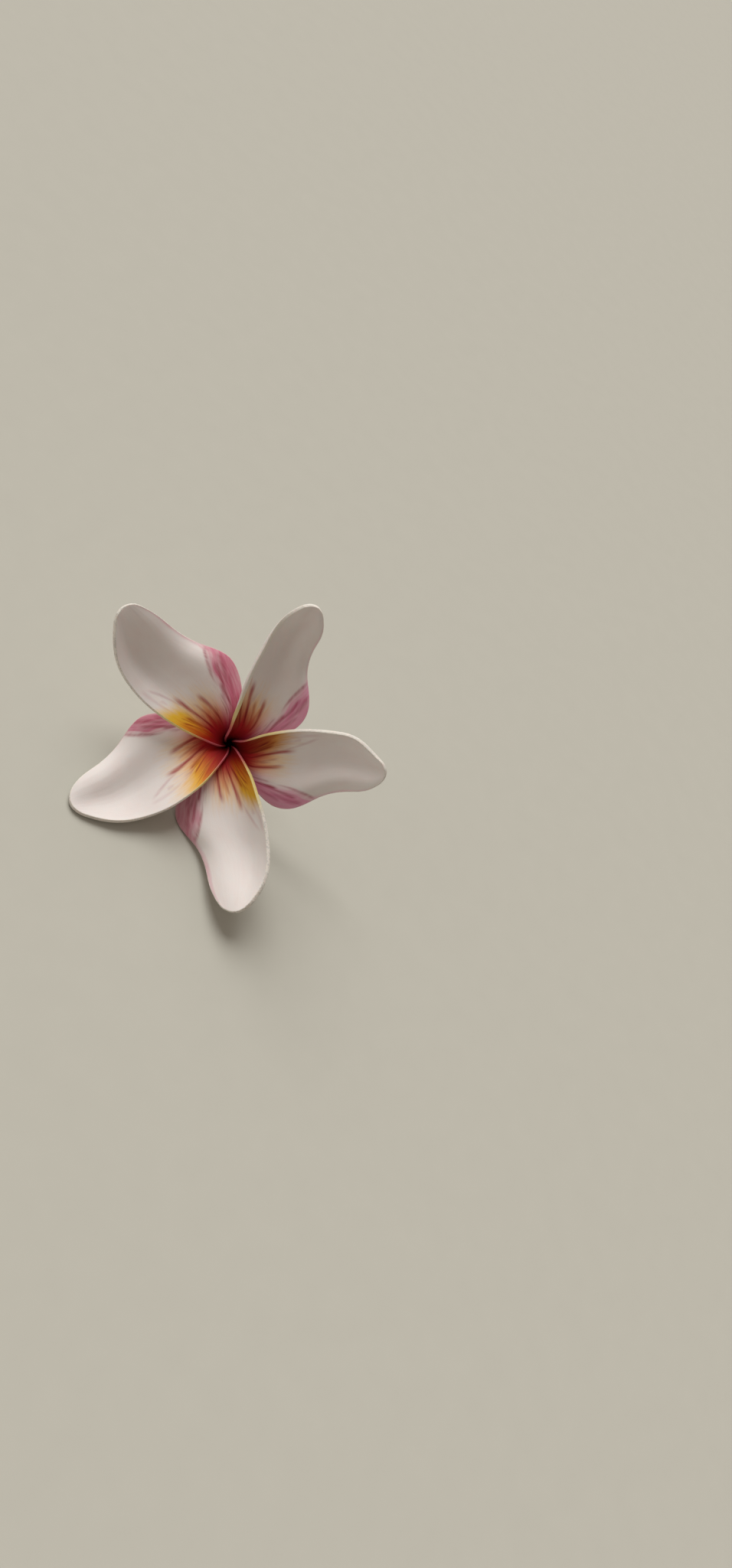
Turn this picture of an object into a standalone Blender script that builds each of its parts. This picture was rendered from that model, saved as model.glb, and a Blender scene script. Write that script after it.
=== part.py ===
"""A picked frangipani flower, lying on its back on a flat surface.

Five separate petals wrap round one another at the throat, each with its left edge raised over its
neighbour and its right edge tucked under the other neighbour. Their feet stand in the flared mouth
of the corolla tube, which sits in a small calyx on a short cut stalk.

Everything is first laid out in the flower's own frame, in millimetres: the origin is the middle of
the throat and +Z points out of the face. The empty "flower_axis" then leans the whole flower over
until it rests on the cut end of the stalk and on the backs of the lower and the left petal.
"""

import math

import bmesh
import bpy
import numpy as np
from mathutils import Matrix, Vector

MM = 0.001
CLEARANCE = 0.3  # gap between pieces that touch, mm

# How the flower lies: tipped back from upright, turned about its own axis, and set on the ground.
LEAN = math.radians(41.87)
TURN = math.radians(44.95)
SEAT = (5.11, 16.27, 16.01)  # where the middle of the throat ends up, mm

# A petal is drawn in plan: distance along its axis from the throat, and to either side of the axis.
STATIONS = (0, 6, 12, 20, 28, 36, 44, 51)
FOOT = -3.0  # the row at which a petal's foot ends, inside the tube
TIP_ROW = 56.0
ARC_ROWS = (1.0, 7.0)  # below the first, rows are arcs round the throat; above the second, straight

# Per petal: the direction of its axis, degrees; how far round the throat its raised edge winds,
# degrees; the distance of both edges from the axis at the stations; where the raised and the
# tucked edge end, along the axis and across it; the bow of the arc between those two ends; where
# across the blade its trough lies, and how deep it is, as a factor on SECTIONS; how strongly the
# raised edge rolls up, as such a factor; how far that edge turns in over the face, mm; how far the
# tip curls up, mm.
PETALS = {
    "petal_upper_left": {
        "axis": 122.3,
        "wind": 82,
        "raised": (2.2, 6.4, 10.2, 14.1, 16.8, 17.9, 17.2, 13.6),
        "tucked": (1.5, 7.4, 13.2, 16.7, 16.7, 9.8, 5.3, 3.1),
        "raised_end": (55.5, 10.0),
        "tucked_end": (56.6, -0.4),
        "bow": 2.2,
        "trough": (0.62, 1.15),
        "roll": 0.35,
        "turned_in": 0.0,
        "curl": 5.0,
    },
    "petal_upper_right": {
        "axis": 57.7,
        "wind": 74,
        "raised": (1.5, 2.3, 4.6, 7.3, 8.5, 9.0, 8.6, 5.9),
        "tucked": (1.5, 7.0, 13.2, 18.0, 16.9, 10.0, 7.0, 7.3),
        "raised_end": (54.2, 3.6),
        "tucked_end": (55.0, 4.3),
        "bow": 2.3,
        "trough": (0.3, 1.0),
        "roll": 1.8,
        "turned_in": 2.0,
        "curl": 4.5,
    },
    "petal_right": {
        "axis": -10.0,
        "wind": 45,
        "raised": (1.2, 1.9, 5.7, 8.9, 10.6, 11.2, 10.7, 5.6),
        "tucked": (1.5, 7.0, 13.7, 19.1, 18.4, 12.1, 8.8, 7.8),
        "raised_end": (54.0, 3.5),
        "tucked_end": (54.6, 4.8),
        "bow": 2.1,
        "trough": (0.05, 0.5),
        "roll": 1.3,
        "turned_in": 0.6,
        "curl": 2.0,
    },
    "petal_lower": {
        "axis": -86.7,
        "wind": 58,
        "raised": (3.0, 5.1, 7.7, 9.8, 11.6, 12.2, 11.7, 9.0),
        "tucked": (1.5, 7.0, 13.4, 19.4, 19.4, 12.8, 9.9, 9.0),
        "raised_end": (55.2, 5.2),
        "tucked_end": (56.2, 6.1),
        "bow": 2.8,
        "trough": (0.45, 0.8),
        "roll": 1.2,
        "turned_in": 0.3,
        "curl": 3.5,
    },
    "petal_left": {
        "axis": 200.0,
        "wind": 80,
        "raised": (2.6, 6.3, 9.7, 12.5, 14.2, 14.2, 12.8, 9.0),
        "tucked": (1.5, 7.0, 13.6, 18.8, 19.1, 12.8, 8.5, 6.7),
        "raised_end": (54.4, 6.1),
        "tucked_end": (54.6, 4.5),
        "bow": 2.8,
        "trough": (0.2, 0.75),
        "roll": 0.7,
        "turned_in": 0.0,
        "curl": 3.5,
    },
}
TUCK_WIND = 48.0  # how far round the throat every tucked edge winds the other way, degrees
BOW_FROM = 15.0  # the row from which the bow of the tip's arc grows
CURL_ROWS = (36.0, 58.0)  # the curl grows from the first; the petal ends before the second
TURN_IN_FROM = 0.9  # how far across the raised edge starts to turn in
TURN_IN_GROWS = (8.0, 18.0)  # the rows over which it comes to turn in fully
TURN_IN_ENDS = (34.0, 54.0)  # and those over which it straightens again towards the tip

# The funnel that all five petals follow, as (row, height): a tube below the throat, a bowl above.
FUNNEL = (
    (-8, -11), (0, -3), (3, 0), (5, 1.9), (8, 4.2), (12, 6.6),
    (20, 9.9), (30, 12.8), (40, 15.6), (50, 19.2), (58, 23.0),
)
THROAT_RADIUS = 2.8
THROAT_BLEND = 0.8  # how gently the tube of the throat opens into the bowl, mm
PITCH_THROAT = 1.05  # rise per radian round the throat, mm: the screw that lays petal over petal
PITCH_GROWTH = 0.2  # added to the pitch for each mm out from the throat
PITCH_LAST_ROW = 22.0  # where the pitch stops growing

# How far the blade stands off the funnel across its width, mm: from the tucked edge, which rolls
# back behind a low ridge, over a trough, to the raised edge, which rolls up. The first three
# heights stand at BACK_ACROSS, the others at the trough, half way to it, half way on, and the edge.
BACK_ACROSS = (-1.0, -0.72, -0.42)
SECTIONS = {
    2: (0, 0, 0, 0, 0, 0, 0),
    12: (-1.0, -0.2, 0.2, -0.1, -0.3, 0.6, 1.8),
    22: (-3.0, -0.8, 0.6, -0.2, -0.9, 0.4, 2.8),
    32: (-3.2, -0.5, 0.9, -0.4, -1.6, 0.3, 3.2),
    44: (-1.8, 0.2, 0.9, -0.6, -1.7, 0.2, 3.0),
    50: (-1.3, -0.2, 0.3, -0.2, -0.6, 0.5, 2.2),
    56: (-0.7, -0.5, -0.2, 0.2, 0.5, 0.9, 1.4),
}
UPRIGHT_ROWS = (5.0, 16.0)  # that stand-off is square to the funnel in the throat, upright further out

THICK_FOOT = 0.8
THICK_BLADE = 1.4
THICK_ROWS = (2.0, 11.0)  # from the foot's thickness to the blade's
ROWS = 16
COLUMN_ACROSS = (-1.0, -0.77, -0.5, -0.22, 0.06, 0.33, 0.58, 0.79, 0.92, 1.0)  # closer at the raised edge
COLUMNS = len(COLUMN_ACROSS) - 1
ROW_CROWDING = 0.5  # below 1, rows lie closer together at the throat than at the tip

MOUTH_ROW = 5.0  # how far up the funnel the tube's mouth reaches
MOUTH_GAP = 0.45  # before the petals' coarse faces take up part of it
MOUTH_WALL = 0.7
MOUTH_STEPS = 6
MOUTH_SPARE_WIND = 6.0  # wind allowed for the blunt ends of the tucked edges, degrees
NECK_FOOT = -13.0  # where the trumpet has narrowed to the tube
NECK_STEPS = 6
NECK_EASE = -0.25  # below 0, the trumpet already narrows where it leaves the mouth
BORE_RADIUS = 1.6
BORE_FLARE = (0.8, 1.5)  # how far the top of the bore widens, and over what height, mm
BORE_BOTTOM = 1.2  # solid left under the bore, mm
TUBE_RADIUS = 2.7
TUBE_FOOT = -16.0
TUBE_CHAMFER = 0.8
TUBE_SIDES = 24
CALYX_RADIUS = 3.5
CALYX_WALL = 0.9
CALYX_BOWL = 1.6
CALYX_FULLNESS = 0.6  # below 1, the bowl's floor is broad and flat
CALYX_RIM = 0.9  # the share of the bowl's radius outside which it turns up into the rim
CALYX_SIDE = 1.2
CALYX_LOBE_HEIGHT = 1.8
CALYX_LOBES = 5
PEDICEL_RADIUS = 1.3
PEDICEL_SWELLING = 1.2  # how much wider it is under the calyx
PEDICEL_TOP = TUBE_FOOT - CALYX_BOWL - CLEARANCE
PEDICEL_END = -26.0  # below the ground, before the cut
PEDICEL_SIDES = 24
GROUND_SIZE = 200.0

# Base colour and roughness of each material.
FINISHES = {
    "petal_white": ((0.80, 0.72, 0.69), 0.6),
    "tube_ivory": ((0.78, 0.74, 0.58), 0.6),
    "calyx_green": ((0.22, 0.33, 0.12), 0.6),
    "pedicel_green": ((0.30, 0.36, 0.16), 0.65),
}


def smoothstep(low, high, x):
    t = min(max((x - low) / (high - low), 0.0), 1.0)
    return t * t * (3.0 - 2.0 * t)


def through(xs, ys, x):
    """A smooth curve through the points, with Catmull-Rom slopes, held level past its ends."""
    i = 0
    while i < len(xs) - 2 and x > xs[i + 1]:
        i += 1

    def slope(j):
        before, after = max(j - 1, 0), min(j + 1, len(xs) - 1)
        return (ys[after] - ys[before]) / (xs[after] - xs[before])

    h = xs[i + 1] - xs[i]
    t = min(max((x - xs[i]) / h, 0.0), 1.0)
    return (
        ys[i] * (1 + 2 * t) * (1 - t) ** 2
        + ys[i + 1] * t * t * (3 - 2 * t)
        + h * slope(i) * t * (1 - t) ** 2
        + h * slope(i + 1) * t * t * (t - 1)
    )


def funnel(row):
    """Radius and height of the funnel at a row, and the direction that points into the bowl."""

    def place(q):
        out = (q - THROAT_RADIUS) / THROAT_BLEND
        radius = THROAT_RADIUS + THROAT_BLEND * float(np.logaddexp(0.0, out))
        rows, heights = zip(*FUNNEL)
        return np.array((radius, through(rows, heights, q)))

    step = 0.05
    along = place(row + step) - place(row - step)
    along /= np.linalg.norm(along)
    return place(row), np.array((-along[1], along[0]))


def pitch_at(row):
    return PITCH_THROAT + PITCH_GROWTH * (min(max(row, THROAT_RADIUS), PITCH_LAST_ROW) - THROAT_RADIUS)


def thickness_at(row):
    return THICK_FOOT + (THICK_BLADE - THICK_FOOT) * smoothstep(*THICK_ROWS, row)


def edge(petal, side, q):
    """Where an edge is in plan at a row: along the axis, and across it, left positive."""
    sign = 1.0 if side == "raised" else -1.0
    end = petal[side + "_end"]
    rows = (*STATIONS, TIP_ROW)
    along = through(rows, (*STATIONS, end[0]), q)
    across = through(rows, (*petal[side], end[1]), q)
    return np.array((along, sign * across))


def section(petal, row, v):
    """How far the blade stands off the funnel, mm."""
    trough, depth = petal["trough"]
    roll = petal["roll"]
    across = (*BACK_ACROSS, (BACK_ACROSS[-1] + trough) / 2, trough, (trough + 1.0) / 2, 1.0)
    scales = (1.0, 1.0, 1.0, depth, depth, roll, roll)
    stands = []
    for heights in SECTIONS.values():
        scaled = [height * scale for height, scale in zip(heights, scales)]
        stands.append(through(across, scaled, v))
    return through(tuple(SECTIONS), stands, row)


def petal_point(petal, q, v):
    """A point on the middle of the blade. q is the row, v runs from the tucked edge, -1, to 1."""
    share = (1.0 + v) / 2.0
    plan = (1 - share) * edge(petal, "tucked", q) + share * edge(petal, "raised", q)
    plan[0] += petal["bow"] * smoothstep(BOW_FROM, TIP_ROW, q) * (1.0 - v * v)
    along = smoothstep(*TURN_IN_GROWS, q) * (1.0 - smoothstep(*TURN_IN_ENDS, q))
    plan[1] -= petal["turned_in"] * along * smoothstep(TURN_IN_FROM, 1.0, v)

    straight = smoothstep(*ARC_ROWS, q)
    wound = math.radians((1 - share) * -TUCK_WIND + share * petal["wind"])
    angle = (1 - straight) * wound + straight * math.atan2(plan[1], max(plan[0], 1.0))
    row = (1 - straight) * q + straight * math.hypot(*plan)

    lift = pitch_at(row) * angle + section(petal, q, v) + petal["curl"] * smoothstep(*CURL_ROWS, row)
    place, inward = funnel(row)
    upward = smoothstep(*UPRIGHT_ROWS, row)
    off = (1 - upward) * inward + upward * np.array((0.0, 1.0))
    radius, height = place + off / np.linalg.norm(off) * lift
    turn = math.radians(petal["axis"]) + angle
    return Vector((radius * math.cos(turn), radius * math.sin(turn), height)) * MM


def material(name):
    colour, roughness = FINISHES[name]
    made = bpy.data.materials.new(name)
    made.use_nodes = True
    shader = made.node_tree.nodes["Principled BSDF"]
    shader.inputs["Base Color"].default_value = (*colour, 1.0)
    shader.inputs["Roughness"].default_value = roughness
    shader.inputs["Metallic"].default_value = 0.0
    return made


def new_object(name, bm, finish, collection):
    mesh = bpy.data.meshes.new(name)
    bm.to_mesh(mesh)
    bm.free()
    mesh.materials.append(finish)
    mesh.shade_smooth()
    made = bpy.data.objects.new(name, mesh)
    collection.objects.link(made)
    return made


def petal(name, finish, collection):
    """An open grid bent to the petal's form, thickened, and rounded by subdivision."""
    bm = bmesh.new()
    bmesh.ops.create_grid(bm, x_segments=ROWS, y_segments=COLUMNS, size=1.0)
    rows = []
    for vertex in bm.verts:
        share = (1.0 + vertex.co.x) / 2.0
        row = FOOT + (TIP_ROW - FOOT) * share * (ROW_CROWDING + (1 - ROW_CROWDING) * share)
        column = round((1.0 + vertex.co.y) / 2.0 * COLUMNS)
        vertex.co = petal_point(PETALS[name], row, COLUMN_ACROSS[column])
        rows.append(row)
    made = new_object(name, bm, finish, collection)

    thickness = made.vertex_groups.new(name="thickness")
    for index, q in enumerate(rows):
        thickness.add([index], thickness_at(q) / THICK_BLADE, "REPLACE")
    solid = made.modifiers.new("thickness", "SOLIDIFY")
    solid.thickness = THICK_BLADE * MM
    solid.offset = 0.0
    solid.use_even_offset = True
    solid.vertex_group = thickness.name
    solid.thickness_vertex_group = 0.0
    rounding = made.modifiers.new("rounding", "SUBSURF")
    rounding.levels = 1
    rounding.render_levels = 1
    return made


def turned(name, profile, finish, collection):
    """A closed profile of (radius, height) pairs in mm, spun about the flower's axis."""
    bm = bmesh.new()
    points = [bm.verts.new((radius * MM, 0.0, height * MM)) for radius, height in profile]
    for a, b in zip(points, points[1:]):
        bm.edges.new((a, b))
    made = new_object(name, bm, finish, collection)
    spin = made.modifiers.new("spin", "SCREW")
    spin.axis = "Z"
    spin.angle = math.tau
    spin.screw_offset = 0.0
    spin.steps = TUBE_SIDES
    spin.render_steps = TUBE_SIDES
    spin.use_merge_vertices = True
    spin.merge_threshold = 0.00001
    spin.use_smooth_shade = True
    return made


def mouth_wall(row, gap):
    """A point of the tube's mouth, that far outside the backs of the tucked edges."""
    place, inward = funnel(row)
    rolled_back = through(tuple(SECTIONS), [heights[0] for heights in SECTIONS.values()], row)
    dropped = pitch_at(row) * math.radians(TUCK_WIND + MOUTH_SPARE_WIND)
    outermost = dropped + thickness_at(row) / 2 - rolled_back
    return tuple(place - inward * (outermost + gap))


def corolla_tube(finish, collection):
    """A trumpet: its mouth follows the petals' feet at a small gap, then it narrows to a tube."""
    rows = [FOOT + (MOUTH_ROW - FOOT) * i / MOUTH_STEPS for i in range(MOUTH_STEPS + 1)]
    wall = [mouth_wall(row, MOUTH_GAP) for row in rows]
    skin = [mouth_wall(row, MOUTH_GAP + MOUTH_WALL) for row in reversed(rows)]
    floor = wall[0][1] - CLEARANCE
    bottom = TUBE_FOOT + BORE_BOTTOM
    wider, over = BORE_FLARE
    bore = [(0.0, bottom), (BORE_RADIUS, bottom), (BORE_RADIUS, floor - over),
            (BORE_RADIUS + wider, floor), (wall[0][0], floor)]
    wide, top = skin[-1]
    neck = []
    for i in range(1, NECK_STEPS + 1):
        share = i / NECK_STEPS
        radius = wide + (TUBE_RADIUS - wide) * smoothstep(NECK_EASE, 1.0, share)
        neck.append((radius, top + (NECK_FOOT - top) * share))
    foot = [(TUBE_RADIUS, TUBE_FOOT + TUBE_CHAMFER), (TUBE_RADIUS - TUBE_CHAMFER, TUBE_FOOT),
            (0.0, TUBE_FOOT)]
    return turned("corolla_tube", bore + wall + skin + neck + foot, finish, collection)


def calyx(finish, collection):
    """A shallow bowl clasping the foot of the tube, its rim drawn up into five blunt lobes."""
    bm = bmesh.new()
    bmesh.ops.create_uvsphere(bm, u_segments=30, v_segments=12, radius=1.0)
    above = [vertex for vertex in bm.verts if vertex.co.z > 0.01]
    bmesh.ops.delete(bm, geom=above, context="VERTS")
    for vertex in bm.verts:
        x, y, z = vertex.co
        lobes = 0.5 + 0.5 * math.cos(CALYX_LOBES * math.atan2(y, x))
        out = math.hypot(x, y)
        radius = CALYX_RADIUS * out**CALYX_FULLNESS / max(out, 1e-6)
        height = TUBE_FOOT + CALYX_WALL / 2 - CALYX_BOWL * max(-z, 0.0) ** 2
        if out > CALYX_RIM:
            height += (out - CALYX_RIM) / (1 - CALYX_RIM) * (CALYX_SIDE + CALYX_LOBE_HEIGHT * lobes)
        vertex.co = Vector((x * radius, y * radius, height)) * MM
    made = new_object("calyx", bm, finish, collection)
    solid = made.modifiers.new("thickness", "SOLIDIFY")
    solid.thickness = CALYX_WALL * MM
    solid.offset = 0.0
    return made


def pedicel(finish, ground, collection):
    """A short stalk, cut where it meets the ground."""
    bm = bmesh.new()
    length = PEDICEL_TOP - PEDICEL_END
    middle = Matrix.Translation((0.0, 0.0, (PEDICEL_TOP + PEDICEL_END) / 2 * MM))
    bmesh.ops.create_cone(bm, cap_ends=True, segments=PEDICEL_SIDES, radius1=PEDICEL_RADIUS * MM,
                          radius2=PEDICEL_RADIUS * PEDICEL_SWELLING * MM, depth=length * MM, matrix=middle)
    made = new_object("pedicel", bm, finish, collection)
    cut = made.modifiers.new("cut", "BOOLEAN")
    cut.operation = "DIFFERENCE"
    cut.object = ground
    return made


def ground_cutter(collection):
    """A block with its top face on the ground, to cut the stalk flat."""
    size = GROUND_SIZE * MM
    bm = bmesh.new()
    bmesh.ops.create_cube(bm, size=size, matrix=Matrix.Translation((0.0, 0.0, -size / 2)))
    mesh = bpy.data.meshes.new("ground")
    bm.to_mesh(mesh)
    bm.free()
    made = bpy.data.objects.new("ground", mesh)
    made.hide_render = True
    made.display_type = "WIRE"
    collection.objects.link(made)
    return made


def main():
    for old in list(bpy.data.objects):
        bpy.data.objects.remove(old)
    parts = bpy.data.collections.new("frangipani_flower")
    cutters = bpy.data.collections.new("cutters")
    for collection in (parts, cutters):
        bpy.context.scene.collection.children.link(collection)

    axis = bpy.data.objects.new("flower_axis", None)
    parts.objects.link(axis)
    axis.rotation_euler = (Matrix.Rotation(LEAN, 3, "X") @ Matrix.Rotation(TURN, 3, "Z")).to_euler()
    axis.location = Vector(SEAT) * MM

    white = material("petal_white")
    ivory = material("tube_ivory")
    green = material("calyx_green")
    stalk = material("pedicel_green")
    ground = ground_cutter(cutters)

    pieces = [petal(name, white, parts) for name in PETALS]
    pieces.append(corolla_tube(ivory, parts))
    pieces.append(calyx(green, parts))
    pieces.append(pedicel(stalk, ground, parts))
    for piece in pieces:
        piece.parent = axis


main()
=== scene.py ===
"""The looks of a picked frangipani flower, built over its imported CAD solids.

Each petal is drawn again from the same plan as the CAD petal, as a fine sheet of the same thickness
with a crisp cut rim. The tube, the calyx and the stalk are turned again with more steps. The print
on the petals is painted by shader nodes, from two numbers that every petal point carries: its row,
in millimetres from the throat, and how far across the petal it lies, from the tucked edge, -1, to
the raised edge, 1.
"""

import math

import bmesh
import bpy
import numpy as np
from mathutils import Matrix, Vector, noise


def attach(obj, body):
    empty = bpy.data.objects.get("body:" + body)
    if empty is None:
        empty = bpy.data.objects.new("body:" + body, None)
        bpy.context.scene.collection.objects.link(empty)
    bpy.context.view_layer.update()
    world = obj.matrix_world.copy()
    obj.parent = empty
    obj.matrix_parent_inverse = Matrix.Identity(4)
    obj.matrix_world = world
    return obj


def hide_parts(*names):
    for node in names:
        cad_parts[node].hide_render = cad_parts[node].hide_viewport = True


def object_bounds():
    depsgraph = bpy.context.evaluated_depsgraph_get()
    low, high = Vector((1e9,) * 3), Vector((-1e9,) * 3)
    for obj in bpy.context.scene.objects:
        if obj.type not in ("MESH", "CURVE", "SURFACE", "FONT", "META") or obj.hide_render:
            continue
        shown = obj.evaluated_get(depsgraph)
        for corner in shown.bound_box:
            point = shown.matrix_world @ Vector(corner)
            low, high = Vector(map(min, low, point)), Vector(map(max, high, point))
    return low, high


MM = 0.001
CLEARANCE = 0.3  # gap between pieces that touch, mm

# How the flower lies, as in the CAD. Where the throat ends up is read from the CAD tube.
LEAN = math.radians(41.87)
TURN = math.radians(44.95)

# The plan of the petals, as in the CAD. Lengths are in mm and angles in degrees.
STATIONS = (0, 6, 12, 20, 28, 36, 44, 51)  # distances along a petal's axis from the throat
FOOT = -3.0  # the row at which a petal's foot ends, inside the tube
TIP_ROW = 56.0
ARC_ROWS = (1.0, 7.0)  # below the first, rows are arcs round the throat; above the second, straight
BOW_FROM = 15.0  # the row from which the bow of the tip's arc grows
CURL_ROWS = (36.0, 58.0)  # the curl grows from the first; the petal ends before the second
TURN_IN_FROM = 0.9  # how far across the raised edge starts to turn in
TURN_IN_GROWS = (8.0, 18.0)  # the rows over which it comes to turn in fully
TURN_IN_ENDS = (34.0, 54.0)  # and those over which it straightens again towards the tip
TUCK_WIND = 48.0  # how far round the throat every tucked edge winds

# Per petal: the direction of its "axis"; how far round the throat its raised edge "wind"s; how far
# the "raised" and the "tucked" edge lie from the axis at the stations; where they end, along the
# axis and across it; the "bow" of the tip between those ends; where across the blade the "trough"
# lies, and how deep it is, as a factor on SECTIONS; how strongly the raised edge "roll"s up, as
# such a factor; how far that edge is "turned_in" over the face; how far the tip "curl"s up.
#
# The rest lays the shared print on each petal, and painted shade. "print" is how far its lines slant
# at the throat, and how they are scaled and shifted across. "gold" is how strong the yellow is, and
# the row where it ends. "crimson" is how much further out the crimson reaches on that side. "wear" is
# how badly the cut rim is chipped, "blush" how far the pink is the deep one, painted as in shade, and
# not the bright one, painted as lit, and the last how far painted brown shade darkens the raised
# side, all from 0 to 1.
PETALS = {
    "petal_upper_left": {
        "axis": 122.3,
        "wind": 82,
        "raised": (2.2, 6.4, 10.2, 14.1, 16.8, 17.9, 17.2, 13.6),
        "tucked": (1.5, 7.4, 13.2, 16.7, 16.7, 9.8, 5.3, 3.1),
        "raised_end": (55.5, 10.0),
        "tucked_end": (56.6, -0.4),
        "bow": 2.2,
        "trough": (0.62, 1.15),
        "roll": 0.35,
        "turned_in": 0.0,
        "curl": 5.0,
        "print": (0.15, 1.0, 0.0),
        "gold": (1.0, 21.5),
        "crimson": 1.3,
        "wear": 0.6,
        "blush": 1.0,
        "raised_shade": 0.0,
    },
    "petal_upper_right": {
        "axis": 57.7,
        "wind": 74,
        "raised": (1.5, 2.3, 4.6, 7.3, 8.5, 9.0, 8.6, 5.9),
        "tucked": (1.5, 7.0, 13.2, 18.0, 16.9, 10.0, 7.0, 7.3),
        "raised_end": (54.2, 3.6),
        "tucked_end": (55.0, 4.3),
        "bow": 2.3,
        "trough": (0.3, 1.0),
        "roll": 1.8,
        "turned_in": 2.0,
        "curl": 4.5,
        "print": (0.25, 0.85, -0.12),
        "gold": (0.7, 16.0),
        "crimson": 2.5,
        "wear": 0.1,
        "blush": 0.0,
        "raised_shade": 0.45,
    },
    "petal_right": {
        "axis": -10.0,
        "wind": 45,
        "raised": (1.2, 1.9, 5.7, 8.9, 10.6, 11.2, 10.7, 5.6),
        "tucked": (1.5, 7.0, 13.7, 19.1, 18.4, 12.1, 8.8, 7.8),
        "raised_end": (54.0, 3.5),
        "tucked_end": (54.6, 4.8),
        "bow": 2.1,
        "trough": (0.05, 0.5),
        "roll": 1.3,
        "turned_in": 0.6,
        "curl": 2.0,
        "print": (0.6, 1.0, 0.02),
        "gold": (0.8, 19.0),
        "crimson": 2.5,
        "wear": 0.35,
        "blush": 0.0,
        "raised_shade": 0.95,
    },
    "petal_lower": {
        "axis": -86.7,
        "wind": 58,
        "raised": (3.0, 5.1, 7.7, 9.8, 11.6, 12.2, 11.7, 9.0),
        "tucked": (1.5, 7.0, 13.4, 19.4, 19.4, 12.8, 9.9, 9.0),
        "raised_end": (55.2, 5.2),
        "tucked_end": (56.2, 6.1),
        "bow": 2.8,
        "trough": (0.45, 0.8),
        "roll": 1.2,
        "turned_in": 0.3,
        "curl": 3.5,
        "print": (0.55, 1.0, -0.05),
        "gold": (1.0, 21.5),
        "crimson": 0.5,
        "wear": 0.6,
        "blush": 0.8,
        "raised_shade": 0.4,
    },
    "petal_left": {
        "axis": 200.0,
        "wind": 80,
        "raised": (2.6, 6.3, 9.7, 12.5, 14.2, 14.2, 12.8, 9.0),
        "tucked": (1.5, 7.0, 13.6, 18.8, 19.1, 12.8, 8.5, 6.7),
        "raised_end": (54.4, 6.1),
        "tucked_end": (54.6, 4.5),
        "bow": 2.8,
        "trough": (0.2, 0.75),
        "roll": 0.7,
        "turned_in": 0.0,
        "curl": 3.5,
        "print": (0.68, 1.0, 0.11),
        "gold": (1.0, 17.5),
        "crimson": 1.6,
        "wear": 0.25,
        "blush": 1.0,
        "raised_shade": 0.0,
    },
}
FUNNEL = (  # what all five petals follow, as (row, height): a tube, opening into a bowl
    (-8, -11), (0, -3), (3, 0), (5, 1.9), (8, 4.2), (12, 6.6),
    (20, 9.9), (30, 12.8), (40, 15.6), (50, 19.2), (58, 23.0),
)
THROAT_RADIUS = 2.8
THROAT_BLEND = 0.8  # how gently the tube of the throat opens into the bowl
PITCH_THROAT = 1.05  # rise per radian round the throat: the screw that lays petal over petal
PITCH_GROWTH = 0.2  # added to the pitch for each mm out from the throat
PITCH_LAST_ROW = 22.0  # where the pitch stops growing

# How far the blade stands off the funnel across its width, at some rows: the first three heights
# stand at BACK_ACROSS, the others at the trough, half way to it, half way on, and the raised edge.
BACK_ACROSS = (-1.0, -0.72, -0.42)
SECTIONS = {
    2: (0, 0, 0, 0, 0, 0, 0),
    12: (-1.0, -0.2, 0.2, -0.1, -0.3, 0.6, 1.8),
    22: (-3.0, -0.8, 0.6, -0.2, -0.9, 0.4, 2.8),
    32: (-3.2, -0.5, 0.9, -0.4, -1.6, 0.3, 3.2),
    44: (-1.8, 0.2, 0.9, -0.6, -1.7, 0.2, 3.0),
    50: (-1.3, -0.2, 0.3, -0.2, -0.6, 0.5, 2.2),
    56: (-0.7, -0.5, -0.2, 0.2, 0.5, 0.9, 1.4),
}
UPRIGHT_ROWS = (5.0, 16.0)  # that stand-off is square to the funnel in the throat, upright further out

THICK_FOOT = 0.8
THICK_BLADE = 1.4
THICK_ROWS = (2.0, 11.0)  # from the foot's thickness to the blade's
ROWS = 16
COLUMN_ACROSS = (-1.0, -0.77, -0.5, -0.22, 0.06, 0.33, 0.58, 0.79, 0.92, 1.0)
COLUMNS = len(COLUMN_ACROSS) - 1
ROW_CROWDING = 0.5  # below 1, rows lie closer together at the throat than at the tip

# What the fine petals add to that plan.
FINENESS = 4  # levels of subdivision of the sheet
RIM_ROUNDING = 0.32  # how far the cut rim bulges out past the plan, mm
RIM_SQUARENESS = 3.0  # 2 would make that bulge an ellipse, and more gives it square shoulders
RIM_STEPS = 8
RIM_CHATTER = 0.08  # how unevenly it is cut, mm
CHATTER_PER_MM = 0.9  # how many swells of that unevenness there are to a millimetre of rim
VEIN_RELIEF = 0.02  # height of the faint lengthwise veins, mm
VEINS_ACROSS = 9.0  # how many veins lie across half a petal
VEINS_PER_MM = 0.05  # how often one comes and goes along it
VEIN_ROWS = (2.0, 12.0)  # the veins rise out of the throat over these rows
VEIN_SEED = 7.3  # times a petal's number, so that no two petals have the same noise
CHATTER_SEED = 5.1
DYE_SEED = 3.7
SLANT_ROWS = (4.0, 22.0)  # the print's slant is full up to the first row and gone at the second

# The tube, the calyx and the stalk, as in the CAD but with more steps, in mm.
MOUTH_ROW = 5.0  # how far up the funnel the tube's mouth reaches
MOUTH_GAP = 0.45
MOUTH_WALL = 0.7
MOUTH_STEPS = 12
MOUTH_SPARE_WIND = 6.0  # wind allowed for the blunt ends of the tucked edges, degrees
NECK_FOOT = -13.0  # where the trumpet has narrowed to the tube
NECK_STEPS = 20
NECK_EASE = -0.25  # below 0, the trumpet already narrows where it leaves the mouth
BORE_RADIUS = 1.6
BORE_FLARE = (0.8, 1.5)  # how far the top of the bore widens, and over what height
BORE_BOTTOM = 1.2  # solid left under the bore
TUBE_RADIUS = 2.7
TUBE_FOOT = -16.0
TUBE_CHAMFER = 0.8
TUBE_SIDES = 96
TUBE_RIDGES = 5  # the five petals run down the tube as five low ridges
RIDGE_HEIGHT = 0.12  # half of how far the grooves between them are sunk
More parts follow.
